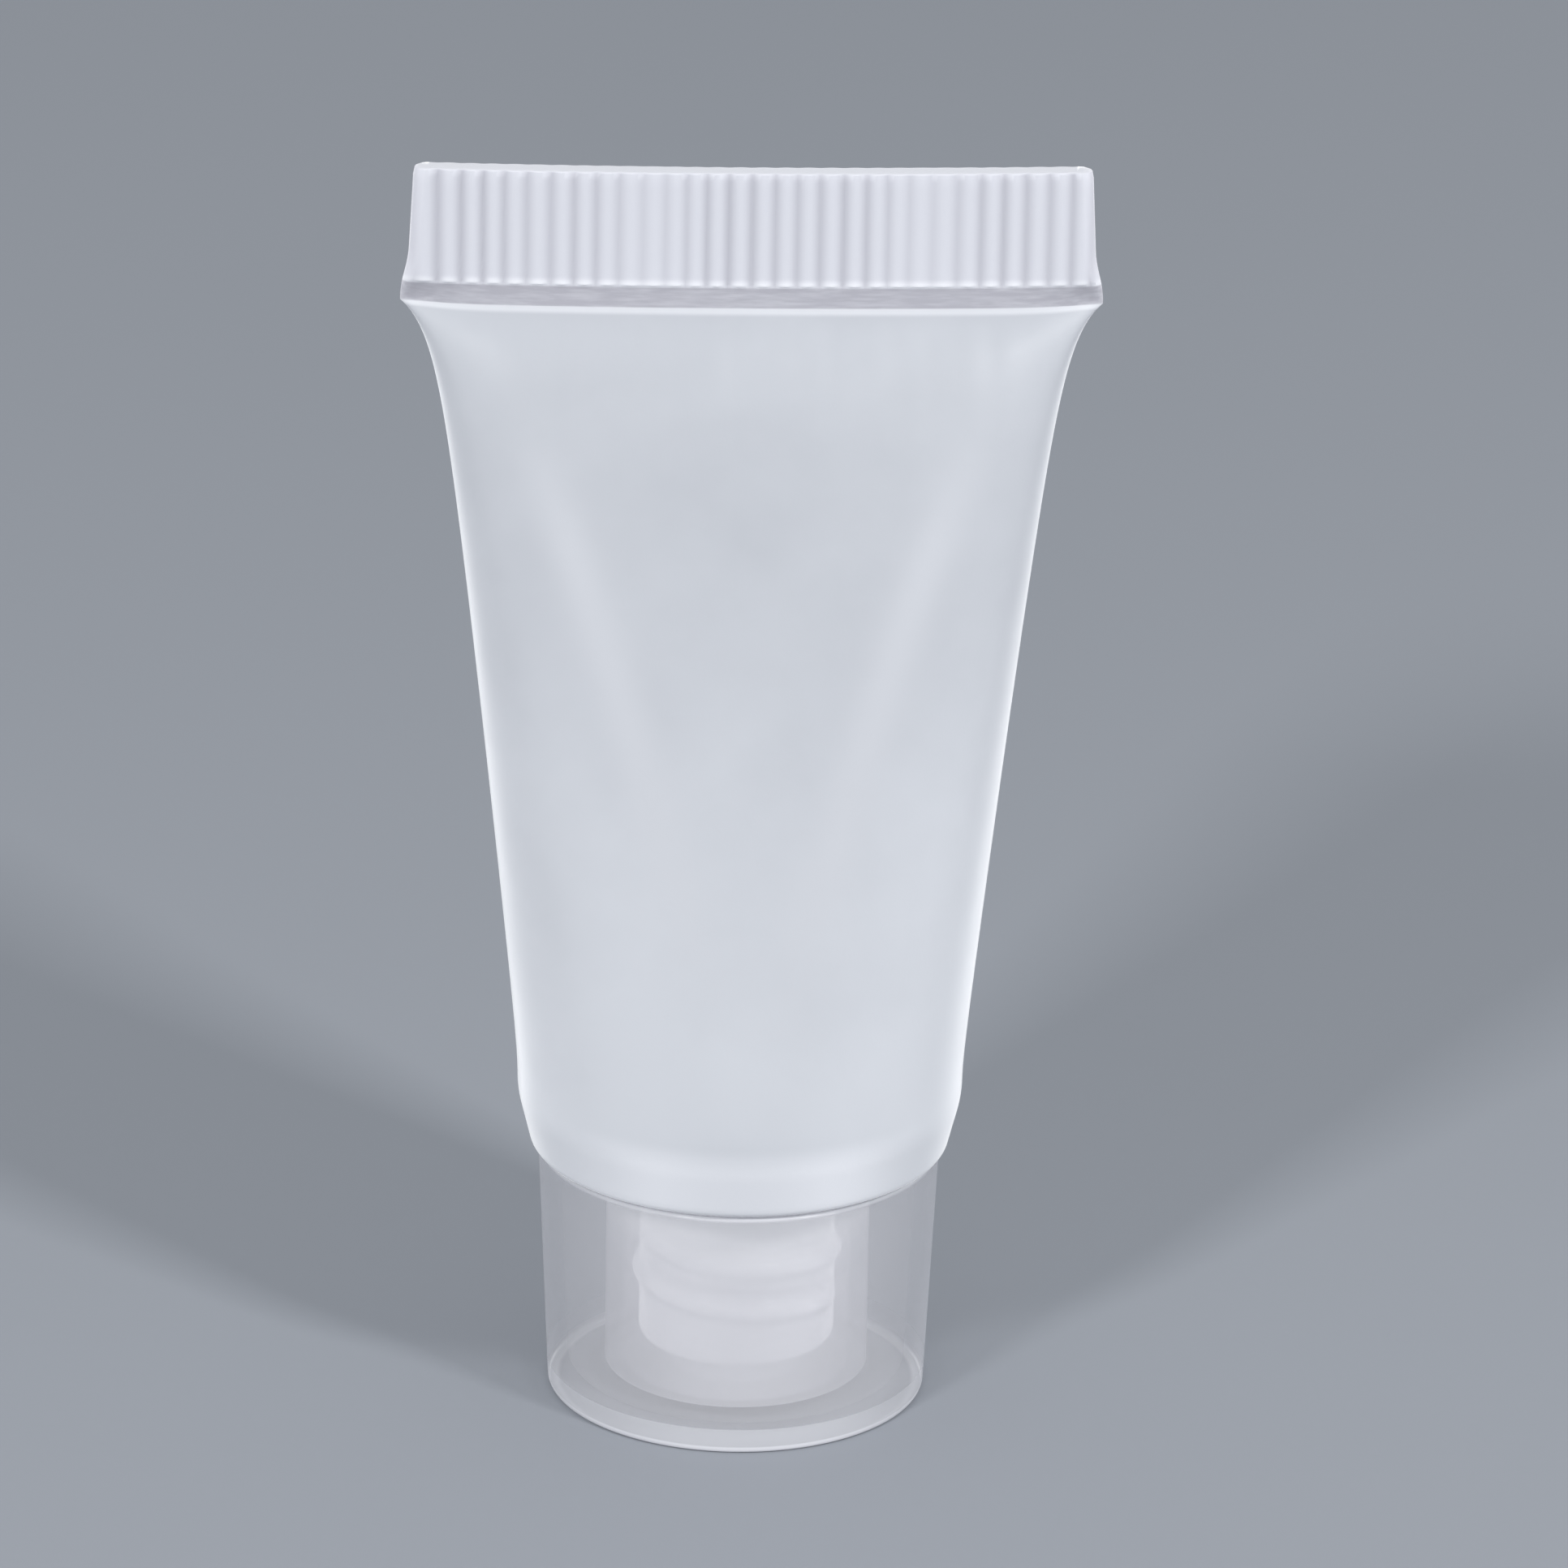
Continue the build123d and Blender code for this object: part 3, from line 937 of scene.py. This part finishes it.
def collar_material(finish, sizes):
    """The frosted collar and plug inside the cap, lighter and more solid towards the collar's mouth as
    painted light against the shade under the shoulder.
    """
    material, tree, shader, clouded = cap_plastic("frosted_collar", finish.collar)
    height = height_of(tree, object_point(tree))
    # Painted light towards the mouth: lighter and more solid where the shoulder's shade falls
    mouth_light_span = (COLLAR_LIGHT_START * sizes.height, sizes.height - sizes.collar_recess)
    lit = ranged(tree, height, mouth_light_span, (0, 1), smooth=True)
    tree.links.new(mixed(tree, lit, clouded, finish.mouth), shader.inputs["Base Color"])
    solidity = ranged(tree, height, mouth_light_span, (finish.collar_solidity, finish.mouth_solidity), smooth=True)
    tree.links.new(solidity, shader.inputs["Alpha"])
    return material


def floor_material(finish):
    """Plain pale floor with a barely uneven tone."""
    material, tree, shader = new_material("pale_floor")
    cloud = noise(tree, object_point(tree), scale=14.0, detail=2.0, roughness=0.5)
    tone = mixed(tree, cloud, finish.floor, dimmed(finish.floor, level=0.97))
    tree.links.new(tone, shader.inputs["Base Color"])
    shader.inputs["Roughness"].default_value = 0.7
    return material


class SQUEEZETUBE_OT_tube(Operator):
    """Build the tube with its shoulder, threaded neck and ribbed seal"""

    bl_idname = "squeezetube.tube"
    bl_label = "Build Tube"

    def execute(self, context):
        scene = context.scene
        finish = scene.squeeze_finish
        form = TubeForm(scene.squeeze_tube_sizes)
        rings = tube_rings(form, scene.squeeze_cap_sizes)
        materials = [film_material(finish, form), neck_material(finish, form.sizes)]
        piece = mesh_piece("squeeze_tube", *closed_skin(rings), materials)
        neck_reach = form.sizes.neck_diameter / 2 + ROOT_RUN / 2
        for polygon in piece.data.polygons:
            if polygon.center.z < form.sizes.shoulder_base and polygon.center.xy.length < neck_reach:
                polygon.material_index = 1
        # The rib and fold shares weight painted light: on the ribs' crests and along the soft folds
        for name, shares in (("rib", form.rib_light_share), ("fold", form.fold_highlight_share)):
            carried = piece.data.attributes.new(name, "FLOAT", "POINT")
            carried.data.foreach_set("value", np.concatenate([shares(ring) for ring in rings]))
        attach(piece, "tube")
        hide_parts("tube")
        return {"FINISHED"}


class SQUEEZETUBE_OT_cap(Operator):
    """Build the screw cap with its threaded collar and plug"""

    bl_idname = "squeezetube.cap"
    bl_label = "Build Cap"

    def execute(self, context):
        scene = context.scene
        sizes = scene.squeeze_cap_sizes
        finish = scene.squeeze_finish
        rings = cap_rings(sizes, scene.squeeze_tube_sizes)
        materials = [skirt_material(finish, sizes), lining_material(finish), collar_material(finish, sizes)]
        piece = mesh_piece("screw_cap", *closed_skin(rings), materials)
        hair = 0.00001
        collar_reach = sizes.collar_bore / 2 + sizes.collar_wall + hair
        for polygon in piece.data.polygons:
            height, reach = polygon.center.z, polygon.center.xy.length
            wall_middle = (sizes.end_diameter - sizes.wall) / 2 + cap_draft(sizes) * height
            if height > sizes.end_wall and reach < collar_reach:
                polygon.material_index = 2
            elif height > sizes.end_wall - hair and reach < wall_middle:
                polygon.material_index = 1
        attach(piece, "cap")
        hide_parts("cap")
        return {"FINISHED"}


def lamp(name, spot, size, watts, aim):
    """A soft square lamp that faces a point."""
    light = bpy.data.lights.new(name, "AREA")
    light.size = size
    light.energy = watts
    holder = bpy.data.objects.new(name, light)
    holder.location = spot
    holder.rotation_euler = (Vector(aim) - Vector(spot)).to_track_quat("-Z", "Y").to_euler()
    bpy.context.scene.collection.objects.link(holder)
    return holder


def lamp_pair(name, spot, size, watts, aim, pieces, gloss_only=False):
    """Two mirrored lamps, right and left, that only the pieces given take light or gloss from, and shade."""
    lit = bpy.data.collections.new(name + "_pieces")
    for piece in pieces:
        lit.objects.link(piece)
    for side, mirrored in (("right", 1), ("left", -1)):
        holder = lamp(f"{side}_{name}", (mirrored * spot[0], spot[1], spot[2]), size, watts, aim)
        holder.light_linking.receiver_collection = lit
        holder.light_linking.blocker_collection = lit
        holder.visible_diffuse = not gloss_only


def set_light(scene, studio):
    """Two lamps that throw the soft shadows, pairs that light the pieces alone, and light from all round."""
    aim = (0, 0, TUBE_HIGH.z / 2)
    tube = bpy.data.objects["squeeze_tube"]
    cap = bpy.data.objects["screw_cap"]
    lamp("key_lamp", studio.key_place, studio.key_size, studio.key_power, aim)
    lamp("fill_lamp", studio.fill_place, studio.fill_size, studio.fill_power, aim)
    lamp_pair("side_lamp", studio.side_place, studio.side_size, studio.side_power, aim, (tube,))
    lamp_pair(
        "edge_lamp", studio.edge_place, studio.edge_size, studio.edge_power, aim, (tube,), gloss_only=True
    )
    lamp_pair("back_lamp", studio.back_place, studio.back_size, studio.back_power, aim, (tube, cap))
    lamp_pair("glow_lamp", studio.glow_place, studio.glow_size, studio.glow_power, aim, (cap,))
    world = bpy.data.worlds.new("soft_sky")
    world.use_nodes = True
    background = world.node_tree.nodes["Background"]
    set_sockets(background, {"Color": (*studio.sky, 1), "Strength": studio.sky_strength})
    scene.world = world
    scene.view_settings.view_transform = "Standard"


def set_camera(scene, studio):
    """The camera at the photograph's angle."""
    lens = bpy.data.cameras.new("camera")
    lens.lens = studio.lens
    lens.sensor_width = SENSOR_WIDTH
    camera = bpy.data.objects.new("camera", lens)
    turned = Matrix.Rotation(-studio.azimuth, 4, "Z")
    tilted = Matrix.Rotation(pi / 2 - studio.elevation, 4, "X")
    rolled = Matrix.Rotation(studio.roll, 4, "Z")
    back = Matrix.Translation((0, 0, studio.distance))
    camera.matrix_world = Matrix.Translation(studio.aim) @ turned @ tilted @ back @ rolled
    scene.collection.objects.link(camera)
    scene.camera = camera


class SQUEEZETUBE_OT_stage(Operator):
    """Set up the pale floor, the soft light and the camera"""

    bl_idname = "squeezetube.stage"
    bl_label = "Set Up Stage"

    def execute(self, context):
        scene = context.scene
        studio = scene.squeeze_studio
        half = studio.floor_size / 2
        low = -studio.floor_gap
        corners = np.array([(-half, -half, low), (half, -half, low), (half, half, low), (-half, half, low)])
        floor = mesh_piece("floor", corners, [[0, 1, 2, 3]], [floor_material(scene.squeeze_finish)])
        set_light(scene, studio)
        set_camera(scene, studio)
        return {"FINISHED"}


OPERATORS = (SQUEEZETUBE_OT_tube, SQUEEZETUBE_OT_cap, SQUEEZETUBE_OT_stage)


class SQUEEZETUBE_PT_panel(Panel):
    """Lists the pieces and the stage"""

    bl_idname = "SQUEEZETUBE_PT_panel"
    bl_label = "Squeeze Tube"
    bl_space_type = "VIEW_3D"
    bl_region_type = "UI"
    bl_category = "Squeeze Tube"

    def draw(self, context):
        for operator in OPERATORS:
            self.layout.operator(operator.bl_idname)


PROPERTY_GROUPS = {
    "squeeze_tube_sizes": TubeSizes,
    "squeeze_cap_sizes": CapSizes,
    "squeeze_finish": Finish,
    "squeeze_studio": Studio,
}
CLASSES = (*PROPERTY_GROUPS.values(), *OPERATORS, SQUEEZETUBE_PT_panel)


def register():
    """Add the classes and the scene's settings."""
    for item in CLASSES:
        bpy.utils.register_class(item)
    for name, group in PROPERTY_GROUPS.items():
        setattr(bpy.types.Scene, name, PointerProperty(type=group))


def unregister():
    """Take the settings and the classes away again."""
    for name in PROPERTY_GROUPS:
        delattr(bpy.types.Scene, name)
    for item in reversed(CLASSES):
        bpy.utils.unregister_class(item)


def main():
    register()
    bpy.ops.squeezetube.tube()
    bpy.ops.squeezetube.cap()
    bpy.ops.squeezetube.stage()


if __name__ == "__main__":
    main()
